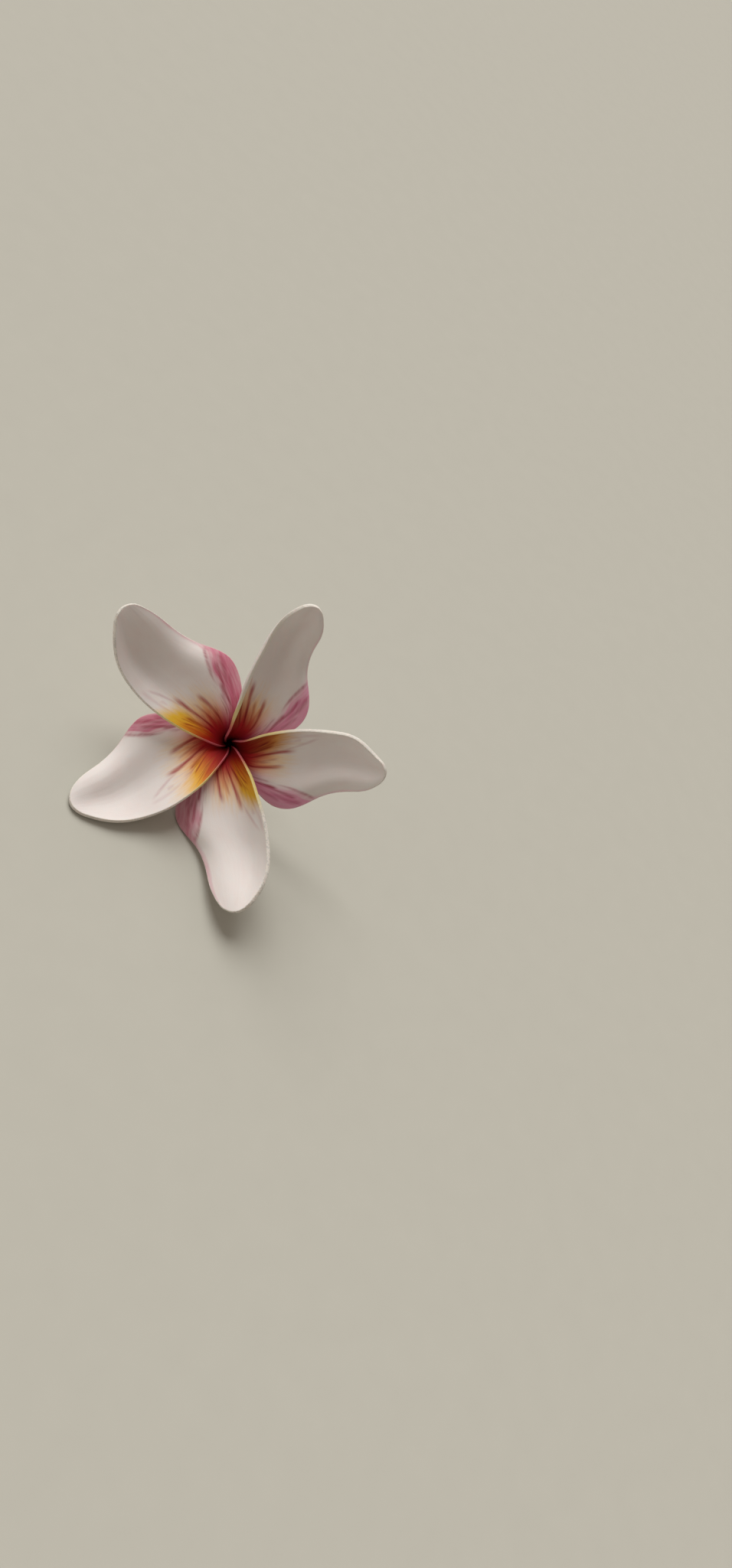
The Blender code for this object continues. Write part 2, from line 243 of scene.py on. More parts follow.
RIDGES_RISE = (-16.0, -6.0)  # the heights over which they grow out of the round foot
EASING_PASSES = 6  # how often the bends of the outer profile are softened
CALYX_RADIUS = 3.5
CALYX_WALL = 0.9
CALYX_BOWL = 1.6
CALYX_FULLNESS = 0.6  # below 1, the bowl's floor is broad and flat
CALYX_RIM = 0.9  # the share of the bowl's radius outside which it turns up into the rim
CALYX_SIDE = 1.2
CALYX_LOBE_HEIGHT = 1.8
CALYX_LOBES = 5
CALYX_SEGMENTS = (60, 24)
PEDICEL_RADIUS = 1.3
PEDICEL_SWELLING = 1.2  # how much wider it is under the calyx
PEDICEL_TOP = TUBE_FOOT - CALYX_BOWL - CLEARANCE
PEDICEL_END = -26.0  # below the ground, before the cut
PEDICEL_SIDES = 64
CUT_ANGLE = math.radians(50)  # edges of the stalk sharper than this stay crisp

# The print, laid out on rows and across. Each streak runs from one (row, across) to another, with
# a bow, a half width and a strength.
STREAKS = (
    ((8.0, 0.36), (24.0, 0.49), 0.02, 0.036, 1.0),
    ((19.0, 0.50), (31.0, 0.80), -0.02, 0.026, 0.3),
    ((8.0, -0.08), (21.0, 0.06), 0.0, 0.038, 0.9),
    ((10.0, 0.17), (19.0, 0.27), 0.0, 0.026, 0.45),
    ((8.0, 0.55), (16.5, 0.68), 0.02, 0.036, 0.8),
    ((9.5, 0.74), (15.0, 0.87), 0.0, 0.020, 0.8),
    ((12.0, 0.70), (17.0, 0.79), 0.0, 0.016, 0.6),
    ((23.0, 0.75), (25.5, 0.77), 0.0, 0.026, 0.2),
    ((20.0, 0.80), (32.0, 0.90), 0.02, 0.026, 0.2),
    ((9.0, -0.48), (17.5, -0.40), 0.02, 0.024, 0.45),
    ((12.0, -0.57), (20.5, -0.54), 0.03, 0.034, 0.85),
    ((22.0, -0.43), (34.0, -0.95), 0.12, 0.028, 0.6),
    ((18.0, -0.56), (27.5, -0.71), 0.03, 0.032, 0.65),
    ((19.0, -0.66), (30.0, -0.92), 0.03, 0.045, 0.5),
    ((14.0, -0.72), (22.0, -0.80), 0.02, 0.035, 0.4),
)

# Where the dyes of the face lie: rows, in mm, or places across, over which one comes or goes.
THREADS_PART = (3.0, 13.0)  # in the throat the threads of dye are too close to tell apart
GOLD_ACROSS = (0.38, 0.70)  # the gold side begins
GOLD_COMES = (3.0, 7.0)
GOLD_GOES = (-4.0, 3.0)  # before and after the petal's own end of the gold
# The painted brown shade on the raised side goes over these rows:
SHADE_BROWN_GOES = (-6.0, 9.0)  # likewise
MIDDLE_ACROSS = (-0.50, 0.10)  # the middle of the petal begins
STRAW_GOES = (13.0, 27.0)
RUST_GOES = (8.0, 21.0)
HAZE_ACROSS = (-0.35, 0.35)
HAZE_GOES = (7.0, 21.0)
PINK_LINE = (-0.47, -0.99)  # the pink lies below a line from the first place across to the second
PINK_TURNS = (24.0, 37.0)  # which crosses between these rows
PINK_BLUR = (-0.10, 0.16)
PINK_COMES = (3.0, 9.0)
HEM_ACROSS = (-0.99, -0.86)
HEM_COMES = (24.0, 30.0)
THREADS_GO = (10.0, 24.0)
CRIMSON_ACROSS = (-0.2, 0.5)  # a petal's own reach of crimson counts only on the raised side
CRIMSON_GOES = (4.0, 14.5)
# over these rows the throat's deep dye and its painted shade fade out
DEEP_DYE_AND_SHADE_GOES = (1.0, 9.0)

SHINE = 0.15  # the shaders' specular level: the flower is nearly matt
FLESH = (1.0, 0.45, 0.35)  # how far red, green and blue light spread inside it
GRAIN_PER_METRE = 2600.0
GRAIN_DEPTH = 0.02  # mm

# Dyes: what a full coat lets through of red, green and blue.
PETAL_WHITE = (0.80, 0.76, 0.74)
PETAL_SHADE = (0.78, 0.71, 0.69)
GOLD = (0.96, 0.68, 0.06)
STRAW = (1.0, 0.76, 0.42)
RUST = (0.90, 0.54, 0.44)
# the pink as it looks in shade: painted shade
PINK_IN_SHADE = (0.76, 0.24, 0.37)
# the pink as it looks lit, a painted light, and also the bright haze near the throat
PINK_BRIGHT = (1.0, 0.43, 0.68)
# painted shade, brown, on the raised side of the petals that lie away from the light
SHADE_BROWN = (0.55, 0.30, 0.22)
STREAK = (0.52, 0.17, 0.22)
CRIMSON = (0.52, 0.02, 0.08)
# the throat's deep dye, darkened further by the painted shade of its hollow
DEEP_DYE_AND_SHADE = (0.28, 0.10, 0.16)
CUT_WHITE = (0.78, 0.74, 0.68)
CUT_GREY = (0.50, 0.49, 0.46)
CUT_GOLD = (0.95, 0.84, 0.34)
CUT_PINK = (0.80, 0.20, 0.27)
CUT_ROSE = (0.86, 0.45, 0.56)
BACK_IVORY = (0.77, 0.70, 0.62)
BACK_ROSE = (0.86, 0.50, 0.56)
BACK_VEIN = (0.86, 0.58, 0.60)
BACK_GREEN = (0.78, 0.80, 0.48)
TUBE_IVORY = (0.78, 0.74, 0.58)
TUBE_CREAM = (0.80, 0.70, 0.62)
TUBE_GREEN = (0.80, 0.88, 0.50)
TUBE_ROSE = (0.84, 0.42, 0.46)
# painted shade, near black, deep in the tube
THROAT_PAINTED_SHADE = (0.03, 0.004, 0.006)
THROAT_RED = (0.20, 0.02, 0.03)
PITH = (0.52, 0.55, 0.34)
PITH_DARK = (0.40, 0.44, 0.22)

# The two greens, each with its darker flecks, its blush, and the heights over which that comes.
CALYX_GREEN = ((0.17, 0.27, 0.09), (0.11, 0.19, 0.06), (0.95, 0.45, 0.40), (-14.5, -12.5))
PEDICEL_GREEN = ((0.23, 0.29, 0.12), (0.14, 0.18, 0.07), (0.90, 0.55, 0.45), (-20.0, -17.0))

# The camera stands on the flower's axis, and is turned aside so that the flower is left of the
# middle of the tall frame.
CAMERA_HEIGHT = 0.4379  # above the throat, along the flower's axis, metres
CAMERA_PAN = math.radians(-6.69)
CAMERA_TILT = math.radians(-1.92)
CAMERA_LENS = 27.0
CAMERA_SENSOR = 36.0

# Where each light comes from, in the flower's own frame, how wide it looks, and how strong it is.
KEY = ((0.21, 0.955, 0.21), math.radians(44.0), 2.9)
FILL = ((-0.81, 0.47, 0.34), math.radians(60.0), 0.5)
LIGHT_COLOUR = (1.0, 0.985, 0.965)
SKY_COLOUR = (0.75, 0.645, 0.56)
SKY_STRENGTH = 0.40
FLOOR_SIZE = 12.0  # metres
FLOOR_COLOUR = (0.53, 0.525, 0.465)
FLOOR_MOTTLE = 0.96  # how dark its darker patches are


# ---------------------------------------------------------------- the petals' plan, as in the CAD


def smoothstep(low, high, x):
    t = min(max((x - low) / (high - low), 0.0), 1.0)
    return t * t * (3.0 - 2.0 * t)


def through(xs, ys, x):
    """A smooth curve through the points, with Catmull-Rom slopes, held level past its ends."""
    i = 0
    while i < len(xs) - 2 and x > xs[i + 1]:
        i += 1

    def slope(j):
        before, after = max(j - 1, 0), min(j + 1, len(xs) - 1)
        return (ys[after] - ys[before]) / (xs[after] - xs[before])

    h = xs[i + 1] - xs[i]
    t = min(max((x - xs[i]) / h, 0.0), 1.0)
    return (
        ys[i] * (1 + 2 * t) * (1 - t) ** 2
        + ys[i + 1] * t * t * (3 - 2 * t)
        + h * slope(i) * t * (1 - t) ** 2
        + h * slope(i + 1) * t * t * (t - 1)
    )


def funnel(row):
    """Radius and height of the funnel at a row, and the direction that points into the bowl."""

    def place(q):
        out = (q - THROAT_RADIUS) / THROAT_BLEND
        radius = THROAT_RADIUS + THROAT_BLEND * float(np.logaddexp(0.0, out))
        rows, heights = zip(*FUNNEL)
        return np.array((radius, through(rows, heights, q)))

    step = 0.05
    along = place(row + step) - place(row - step)
    along /= np.linalg.norm(along)
    return place(row), np.array((-along[1], along[0]))


def pitch_at(row):
    return PITCH_THROAT + PITCH_GROWTH * (min(max(row, THROAT_RADIUS), PITCH_LAST_ROW) - THROAT_RADIUS)


def thickness_at(row):
    return THICK_FOOT + (THICK_BLADE - THICK_FOOT) * smoothstep(*THICK_ROWS, row)


def edge(petal, side, q):
    """Where an edge is in plan at a row: along the axis, and across it, left positive."""
    sign = 1.0 if side == "raised" else -1.0
    end = petal[side + "_end"]
    rows = (*STATIONS, TIP_ROW)
    along = through(rows, (*STATIONS, end[0]), q)
    across = through(rows, (*petal[side], end[1]), q)
    return np.array((along, sign * across))


def section(petal, row, v):
    """How far the blade stands off the funnel, mm."""
    trough, depth = petal["trough"]
    roll = petal["roll"]
    across = (*BACK_ACROSS, (BACK_ACROSS[-1] + trough) / 2, trough, (trough + 1.0) / 2, 1.0)
    scales = (1.0, 1.0, 1.0, depth, depth, roll, roll)
    stands = []
    for heights in SECTIONS.values():
        scaled = [height * scale for height, scale in zip(heights, scales)]
        stands.append(through(across, scaled, v))
    return through(tuple(SECTIONS), stands, row)


def petal_point(petal, q, v):
    """A point on the middle of the blade. q is the row, v runs from the tucked edge, -1, to 1."""
    share = (1.0 + v) / 2.0
    plan = (1 - share) * edge(petal, "tucked", q) + share * edge(petal, "raised", q)
    plan[0] += petal["bow"] * smoothstep(BOW_FROM, TIP_ROW, q) * (1.0 - v * v)
    along = smoothstep(*TURN_IN_GROWS, q) * (1.0 - smoothstep(*TURN_IN_ENDS, q))
    plan[1] -= petal["turned_in"] * along * smoothstep(TURN_IN_FROM, 1.0, v)

    straight = smoothstep(*ARC_ROWS, q)
    wound = math.radians((1 - share) * -TUCK_WIND + share * petal["wind"])
    angle = (1 - straight) * wound + straight * math.atan2(plan[1], max(plan[0], 1.0))
    row = (1 - straight) * q + straight * math.hypot(*plan)

    lift = pitch_at(row) * angle + section(petal, q, v) + petal["curl"] * smoothstep(*CURL_ROWS, row)
    place, inward = funnel(row)
    upward = smoothstep(*UPRIGHT_ROWS, row)
    off = (1 - upward) * inward + upward * np.array((0.0, 1.0))
    radius, height = place + off / np.linalg.norm(off) * lift
    turn = math.radians(petal["axis"]) + angle
    return Vector((radius * math.cos(turn), radius * math.sin(turn), height)) * MM


def mouth_wall(row, gap):
    """A point of the tube's mouth, that far outside the backs of the tucked edges."""
    place, inward = funnel(row)
    rolled_back = through(tuple(SECTIONS), [heights[0] for heights in SECTIONS.values()], row)
    dropped = pitch_at(row) * math.radians(TUCK_WIND + MOUTH_SPARE_WIND)
    outermost = dropped + thickness_at(row) / 2 - rolled_back
    return tuple(place - inward * (outermost + gap))


# ------------------------------------------------------------------------------- shader arithmetic


class Field:
    """A number or a colour that varies over a surface: an output in a shader tree."""

    def __init__(self, tree, socket):
        self.tree = tree
        self.socket = socket

    def fill(self, node, index, value):
        """Feeds a field, or sets a plain number, into an input of a node."""
        if isinstance(value, Field):
            self.tree.links.new(value.socket, node.inputs[index])
        else:
            node.inputs[index].default_value = value

    def maths(self, operation, *others):
        node = self.tree.nodes.new("ShaderNodeMath")
        node.operation = operation
        for index, value in enumerate((self, *others)):
            self.fill(node, index, value)
        return Field(self.tree, node.outputs[0])

    def __add__(self, other):
        return self.maths("ADD", other)

    def __sub__(self, other):
        return self.maths("SUBTRACT", other)

    def __mul__(self, other):
        return self.maths("MULTIPLY", other)

    def __truediv__(self, other):
        return self.maths("DIVIDE", other)

    def opposite(self):
        """One less this."""
        return self.maths("MULTIPLY_ADD", -1.0, 1.0)

    def size(self):
        return self.maths("ABSOLUTE")

    def largest(self, other):
        return self.maths("MAXIMUM", other)

    def rise(self, low, high):
        """0 below low and 1 above high, smooth between."""
        node = self.tree.nodes.new("ShaderNodeMapRange")
        node.interpolation_type = "SMOOTHSTEP"
        for index, value in enumerate((self, low, high)):
            self.fill(node, index, value)
        return Field(self.tree, node.outputs["Result"])

    def fall(self, low, high):
        """1 below low and 0 above high, smooth between."""
        return self.rise(low, high).opposite()

    def dyed(self, dye, amount):
        """This colour under a coat of dye, as strong as the amount."""
        node = self.tree.nodes.new("ShaderNodeMix")
        node.data_type = "RGBA"
        node.blend_type = "MULTIPLY"
        self.tree.links.new(self.socket, node.inputs["A"])
        set_colour(node.inputs["B"], dye)
        self.fill(node, "Factor", amount)
        return Field(self.tree, node.outputs["Result"])


def set_colour(socket, colour):
    socket.default_value = (*colour, 1.0)


class Finish:
    """A Principled material, with fields to paint it by."""

    def __init__(self, name, roughness):
        self.material = bpy.data.materials.new(name)
        self.material.use_nodes = True
        self.tree = self.material.node_tree
        self.shader = self.tree.nodes["Principled BSDF"]
        self.shader.inputs["Roughness"].default_value = roughness
        self.shader.inputs["Specular IOR Level"].default_value = SHINE

    def fleshy(self, weight, depth):
        """Light enters and spreads, as in a petal. depth in mm."""
        self.shader.inputs["Subsurface Weight"].default_value = weight
        self.shader.inputs["Subsurface Radius"].default_value = FLESH
        self.shader.inputs["Subsurface Scale"].default_value = depth * MM

    def attribute(self, name):
        node = self.tree.nodes.new("ShaderNodeAttribute")
        node.attribute_name = name
        return Field(self.tree, node.outputs["Fac"])

    def place(self):
        """Where a point is, in metres."""
        return self.tree.nodes.new("ShaderNodeTexCoord").outputs["Object"]

    def joined(self, x, y, z=0.0):
        """Up to three fields as one vector."""
        node = self.tree.nodes.new("ShaderNodeCombineXYZ")
        for index, value in enumerate((x, y, z)):
            x.fill(node, index, value)
        return node.outputs[0]

    def noise(self, vector, scale, detail=2.0):
        node = self.tree.nodes.new("ShaderNodeTexNoise")
        self.tree.links.new(vector, node.inputs["Vector"])
        node.inputs["Scale"].default_value = scale
        node.inputs["Detail"].default_value = detail
        return Field(self.tree, node.outputs["Fac"])

    def between(self, low, high, amount):
        """A colour between two, by a field from 0 to 1."""
        node = self.tree.nodes.new("ShaderNodeMix")
        node.data_type = "RGBA"
        set_colour(node.inputs["A"], low)
        set_colour(node.inputs["B"], high)
        self.tree.links.new(amount.socket, node.inputs["Factor"])
        return Field(self.tree, node.outputs["Result"])

    def grain(self):
        """The finest texture, alike in all directions."""
        return self.noise(self.place(), GRAIN_PER_METRE)

    def paint(self, colour):
        self.tree.links.new(colour.socket, self.shader.inputs["Base Color"])

    def bump(self, height, depth):
        """Relief finer than the mesh. depth in mm."""
        node = self.tree.nodes.new("ShaderNodeBump")
        node.inputs["Distance"].default_value = depth * MM
        self.tree.links.new(height.socket, node.inputs["Height"])
        self.tree.links.new(node.outputs[0], self.shader.inputs["Normal"])

    def roughened(self, low, high, amount):
        """Roughness between two values, by a field."""
        self.tree.links.new((amount * (high - low) + low).socket, self.shader.inputs["Roughness"])


# ---------------------------------------------------------------------------------------- materials


def streak(row, across, start, end, bow, half_width, strength):
    """One soft tapering line of the print, swelling towards its outer end."""
    along = (row - start[0]) / (end[0] - start[0])
    arch = along * along.opposite() * (4.0 * bow)
    middle = along * (end[1] - start[1]) + arch + start[1]
    off = (across - middle).size() / half_width
    swelling = along.rise(-0.2, 0.8) * 0.5 + 0.5
    mark = (off / swelling).fall(0.0, 2.5)
    ends = along.rise(-0.3, 0.25) * along.fall(0.80, 1.08)
    return mark * ends * strength


def strongest(fields):
    """The largest of several fields at each point."""
    top = fields[0]
    for field in fields[1:]:
        top = top.largest(field)
    return top


def petal_face():
    """The front: white, gold and rust towards the throat, with a pink tucked edge and red streaks, and
    painted shade that browns the raised side, deepens the pink and darkens the throat.
    """
    finish = Finish("petal_face", 0.55)
    finish.fleshy(0.15, 1.0)
    row = finish.attribute("row")
    across = finish.attribute("across")
    seed = finish.attribute("seed")
    gold_strength = finish.attribute("gold")
    past_gold = row - finish.attribute("gold_end")
    # How far this petal's pink is painted as in shade, not as lit.
    blush = finish.attribute("blush")
    raised_shade = finish.attribute("raised_shade")
    reach = finish.attribute("crimson") * across.rise(*CRIMSON_ACROSS)

    # Threads of uneven dye run out along the petal, coarse and fine, over broad clouds.
    fibre = finish.noise(finish.joined(row * 0.10, across * 7.0, seed), 1.0, 3.0) - 0.5
    fine = finish.noise(finish.joined(row * 0.16, across * 24.0, seed), 1.0) - 0.5
    fine = fine * row.rise(*THREADS_PART)
    cloud = finish.noise(finish.joined(row * 0.12, across * 2.0, seed), 1.0) - 0.5

    colour = finish.between(PETAL_WHITE, PETAL_SHADE, (cloud * 2.0 + 0.4).rise(0.0, 1.2))
    gold_side = (across + fibre * 0.3).rise(*GOLD_ACROSS)
    gold_rows = (past_gold + fibre * 8.0 + across * -4.0 + 3.0).fall(*GOLD_GOES)
    gold = gold_side * row.rise(*GOLD_COMES) * gold_rows * gold_strength
    colour = colour.dyed(GOLD, gold)
    middle = (across + fibre * 0.4).rise(*MIDDLE_ACROSS)
    straw = middle * (row + fibre * 10.0 + fine * 9.0).fall(*STRAW_GOES)
    colour = colour.dyed(STRAW, straw * (gold * -0.8 + 1.0))
    colour = colour.dyed(RUST, middle * (row + fibre * 10.0 + fine * 6.0).fall(*RUST_GOES))
    haze = across.fall(*HAZE_ACROSS) * (row + fibre * 9.0 + fine * 5.0).fall(*HAZE_GOES)
    colour = colour.dyed(PINK_BRIGHT, haze * 0.5)
    # Painted shade browns the raised side of the petals that lie away from the light, as far as each
    # petal's value says.
    shaded_brown = gold_side * (past_gold + fibre * 10.0).fall(*SHADE_BROWN_GOES) * (fine * 1.5 + 1.0)
    colour = colour.dyed(SHADE_BROWN, shaded_brown * raised_shade)

    # The pink lies below a line that runs along the petal and then out to its tucked edge.
    line, line_out = PINK_LINE
    below = row.rise(*PINK_TURNS) * (line_out - line) + line - across
    grain = finish.noise(finish.joined(row * 0.09, below * 15.0, seed), 1.0, 3.0) - 0.5
    tucked = (below + fibre * 0.16 + grain * 0.12).rise(*PINK_BLUR)
    pink = tucked * (row + fibre * 6.0).rise(*PINK_COMES) * (grain * 1.1 + 0.88)
    hem = (across + fine * 0.06).fall(*HEM_ACROSS) * row.rise(*HEM_COMES) * (cloud + 0.5)
    coat = pink.largest(hem * 0.7)
    # The deep pink is the pink painted as in shade, and the bright one is the pink painted as lit.
    colour = colour.dyed(PINK_IN_SHADE, coat * blush)
    colour = colour.dyed(PINK_BRIGHT, coat * blush.opposite())

    wavering = across + fibre * 0.04
    lines = strongest([streak(row, wavering, *marks) for marks in STREAKS])
    threads = (fibre + fine * 0.7).rise(0.0, 0.26) * (row - reach).fall(*THREADS_GO)
    lines = (lines * (fine * 1.4 + 0.9)).largest(threads * 0.6)
    colour = colour.dyed(STREAK, lines)

    # Crimson wells up out of the throat, further in the middle than on the gold side.
    welling = row - reach + gold_side * 2.0 - middle * 2.2 + fibre * 9.0 + lines * -1.6
    colour = colour.dyed(CRIMSON, welling.fall(*CRIMSON_GOES))
    # Deep dye darkens the throat, and painted shade of its hollow darkens it further.
    colour = colour.dyed(DEEP_DYE_AND_SHADE, row.fall(*DEEP_DYE_AND_SHADE_GOES))
    finish.paint(colour)
    finish.roughened(0.50, 0.62, fine + 0.5)
    finish.bump(finish.grain() + fine * 0.8, GRAIN_DEPTH)
    return finish.material


def petal_back():
    """The back: ivory white, green-tinged at the foot, with rosy edges and faint veins."""
    finish = Finish("petal_back", 0.58)
    finish.fleshy(0.15, 1.0)
    row = finish.attribute("row")
    across = finish.attribute("across")
    seed = finish.attribute("seed")
    fibre = finish.noise(finish.joined(row * 0.06, across * 8.0, seed), 1.0, 3.0) - 0.5
    fine = finish.noise(finish.joined(row * 0.10, across * 24.0, seed), 1.0) - 0.5

    colour = finish.between(PETAL_WHITE, BACK_IVORY, (fibre + 0.5).rise(0.3, 0.8))
    wavering = across + fibre * 0.3
    tucked = wavering.fall(-0.95, -0.45) * row.rise(4.0, 14.0) * row.fall(28.0, 52.0)
    raised = wavering.rise(0.45, 0.95) * row.rise(2.0, 12.0) * row.fall(22.0, 50.0)
    colour = colour.dyed(BACK_ROSE, (tucked * 0.75).largest(raised * 0.15))
    veins = (fine + fibre * 0.4).rise(0.10, 0.30) * row.fall(16.0, 46.0)
    colour = colour.dyed(BACK_VEIN, veins * 0.3)
    colour = colour.dyed(BACK_GREEN, row.fall(2.0, 16.0) * 0.7)
    finish.paint(colour)
    finish.bump(finish.grain() + fine * 3.0, GRAIN_DEPTH)
    return finish.material


def petal_rim():
    """The cut rim: creamy, a little chipped, yellow near the throat and crimson in it."""
    finish = Finish("petal_rim", 0.62)
    finish.fleshy(0.1, 0.8)
    row = finish.attribute("row")
    across = finish.attribute("across")
    seed = finish.attribute("seed")
    around = finish.attribute("around")
    depth = finish.attribute("depth")
    gold_strength = finish.attribute("gold")
    past_gold = row - finish.attribute("gold_end")
    chips = finish.noise(finish.joined(around * 1.3, depth * 0.9, seed), 1.0, 3.0)
    patches = finish.noise(finish.joined(around * 0.12, 0.0, seed), 1.0, 1.0)
    chipped = (chips + (patches - 0.5) * 0.6).rise(0.42, 0.62) * row.rise(16.0, 28.0)

    colour = finish.between(CUT_WHITE, CUT_GREY, chipped * finish.attribute("wear"))
    yellow = across.rise(0.0, 0.5) * row.rise(5.0, 9.0) * past_gold.fall(-5.0, 6.0)
    colour = colour.dyed(CUT_GOLD, yellow * (gold_strength * 0.5 + 0.45))
    colour = colour.dyed(CUT_ROSE, across.fall(-0.9, -0.5) * row.fall(30.0, 42.0) * 0.9)
    colour = colour.dyed(CUT_PINK, row.fall(6.0, 11.0))
    colour = colour.dyed(CRIMSON, row.fall(0.5, 6.0) * 0.9)
    finish.paint(colour)
    finish.bump(chips, 0.05)
    return finish.material


def tube_skin():
    """Ivory, greenish at the foot, with fine rosy lines that run up into the petals."""
    finish = Finish("tube_skin", 0.5)
    finish.fleshy(0.15, 0.8)
    height = finish.attribute("height")
    lines = finish.noise(finish.joined(height * 0.05, finish.attribute("around")), 9.0, 3.0) - 0.5
    colour = finish.between(TUBE_IVORY, TUBE_CREAM, height.rise(-14.0, 0.0))
    colour = colour.dyed(TUBE_GREEN, height.fall(-16.0, -6.0) * 0.8)
    rosy = (lines + 0.1).rise(0.0, 0.35) * height.rise(-13.0, 2.0)
    colour = colour.dyed(TUBE_ROSE, rosy * 0.6)
    finish.paint(colour)
    finish.bump(lines, 0.05)
    return finish.material


def tube_inside():
    """Deep crimson, with painted shade that darkens it to near black going down."""
    finish = Finish("tube_inside", 0.6)
    down = finish.attribute("height").rise(-14.0, 3.0)
    finish.paint(finish.between(THROAT_PAINTED_SHADE, THROAT_RED, down))
    return finish.material


def green_skin(name, green, dark, blush, blush_heights):
    """Leafy green with darker flecks, and a red-brown blush that comes between two heights, mm."""
    finish = Finish(name, 0.55)
    flecks = finish.noise(finish.place(), 1800.0, 3.0)
    colour = finish.between(green, dark, flecks.rise(0.45, 0.62))
    blushing = (finish.attribute("height") + flecks * 0.8).rise(*blush_heights)
    colour = colour.dyed(blush, blushing * 0.8)
    finish.paint(colour)
    finish.bump(flecks, 0.06)
    return finish.material


def cut_end():
    """The cut face of the stalk: pale pith inside a green skin."""
    finish = Finish("pedicel_cut", 0.5)
    finish.paint(finish.between(PITH, PITH_DARK, finish.noise(finish.place(), 3000.0)))
    return finish.material


# ------------------------------------------------------------------------------------------- pieces


def mesh_object(name, mesh, flower, *finishes):
    """A piece in the flower's own frame, riding on the flower."""
    for finish in finishes:
        mesh.materials.append(finish)
    mesh.transform(flower)
    mesh.shade_smooth()
    made = bpy.data.objects.new(name, mesh)
    bpy.context.scene.collection.objects.link(made)
    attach(made, "root")
    return made


def settled_mesh(bm, modify):
    """The mesh of a bmesh after the modifiers that modify(object) adds."""
    mesh = bpy.data.meshes.new("draft")
    bm.to_mesh(mesh)
    bm.free()
    draft = bpy.data.objects.new("draft", mesh)
    bpy.context.scene.collection.objects.link(draft)
    modify(draft)
    ready = draft.evaluated_get(bpy.context.evaluated_depsgraph_get())
    made = bpy.data.meshes.new_from_object(ready)
    bpy.data.objects.remove(draft)
    bpy.data.meshes.remove(mesh)
    return made


def petal_sheet(petal):
    """The middle of the blade as a fine open sheet, with (row, across) in its UV map."""
    bm = bmesh.new()
    bmesh.ops.create_grid(bm, x_segments=ROWS, y_segments=COLUMNS, size=1.0)
    uv = bm.loops.layers.uv.new("plan")
    for face in bm.faces:
        for loop in face.loops:
            share = (1.0 + loop.vert.co.x) / 2.0
            row = FOOT + (TIP_ROW - FOOT) * share * (ROW_CROWDING + (1 - ROW_CROWDING) * share)
            column = round((1.0 + loop.vert.co.y) / 2.0 * COLUMNS)
            loop[uv].uv = (row, COLUMN_ACROSS[column])
    plan = {loop.vert: tuple(loop[uv].uv) for face in bm.faces for loop in face.loops}
    for vertex, (row, across) in plan.items():
        vertex.co = petal_point(petal, row, across)

    def subdivide(draft):
        rounding = draft.modifiers.new("rounding", "SUBSURF")
        rounding.levels = FINENESS
        rounding.render_levels = FINENESS

    return settled_mesh(bm, subdivide)


def boundary_loop(faces):
    """Walks the edges that belong to one face only."""
    directed = {(a, b) for face in faces for a, b in zip(face, face[1:] + face[:1])}
    after = {a: b for a, b in directed if (b, a) not in directed}
    start = min(after)
    loop = [start]
    while after[loop[-1]] != start:
        loop.append(after[loop[-1]])
    return loop


def vein_relief(row, across, seed):
    """How far a vein lifts the surface, mm."""
    ridge = noise.noise(Vector((row * VEINS_PER_MM, across * VEINS_ACROSS, seed)))
    return VEIN_RELIEF * ridge * smoothstep(*VEIN_ROWS, row)


def rim_rings(front, back, outward, chatter):
    """Rings of points round the cut rim, from its front to its back, and the depth of each, 1 to -1."""
    rings = []
    depths = []
    for step in range(1, RIM_STEPS):
        turn = math.pi * step / RIM_STEPS
        depth = math.copysign(abs(math.cos(turn)) ** (2 / RIM_SQUARENESS), math.cos(turn))
        bulge = RIM_ROUNDING * math.sin(turn) ** (2 / RIM_SQUARENESS)
        out = (bulge + RIM_CHATTER * chatter * math.sin(turn)) * MM
        rings.append((front * (1 + depth) + back * (1 - depth)) / 2 + outward * out[:, None])
        depths.append(depth)
    return rings, depths


def blade_mesh(name, faces, rim, front, back, rings):
    """Front, back and rim as one closed mesh, in the material slots 0, 1 and 2."""
    count = len(front)
    front_faces = list(faces)
    back_faces = [[count + index for index in reversed(face)] for face in faces]

    round_rim = [rim]
    for step in range(len(rings)):
        first = 2 * count + step * len(rim)
        round_rim.append(list(range(first, first + len(rim))))
    round_rim.append([count + index for index in rim])
    rim_faces = []
    for upper, lower in zip(round_rim, round_rim[1:]):
        for i in range(len(rim)):
            j = (i + 1) % len(rim)
            rim_faces.append([upper[j], upper[i], lower[i], lower[j]])

    mesh = bpy.data.meshes.new(name)
    mesh.from_pydata(np.concatenate([front, back, *rings]), [], front_faces + back_faces + rim_faces)
    slots = [0] * len(front_faces) + [1] * len(back_faces) + [2] * len(rim_faces)
    mesh.polygons.foreach_set("material_index", slots)
    return mesh


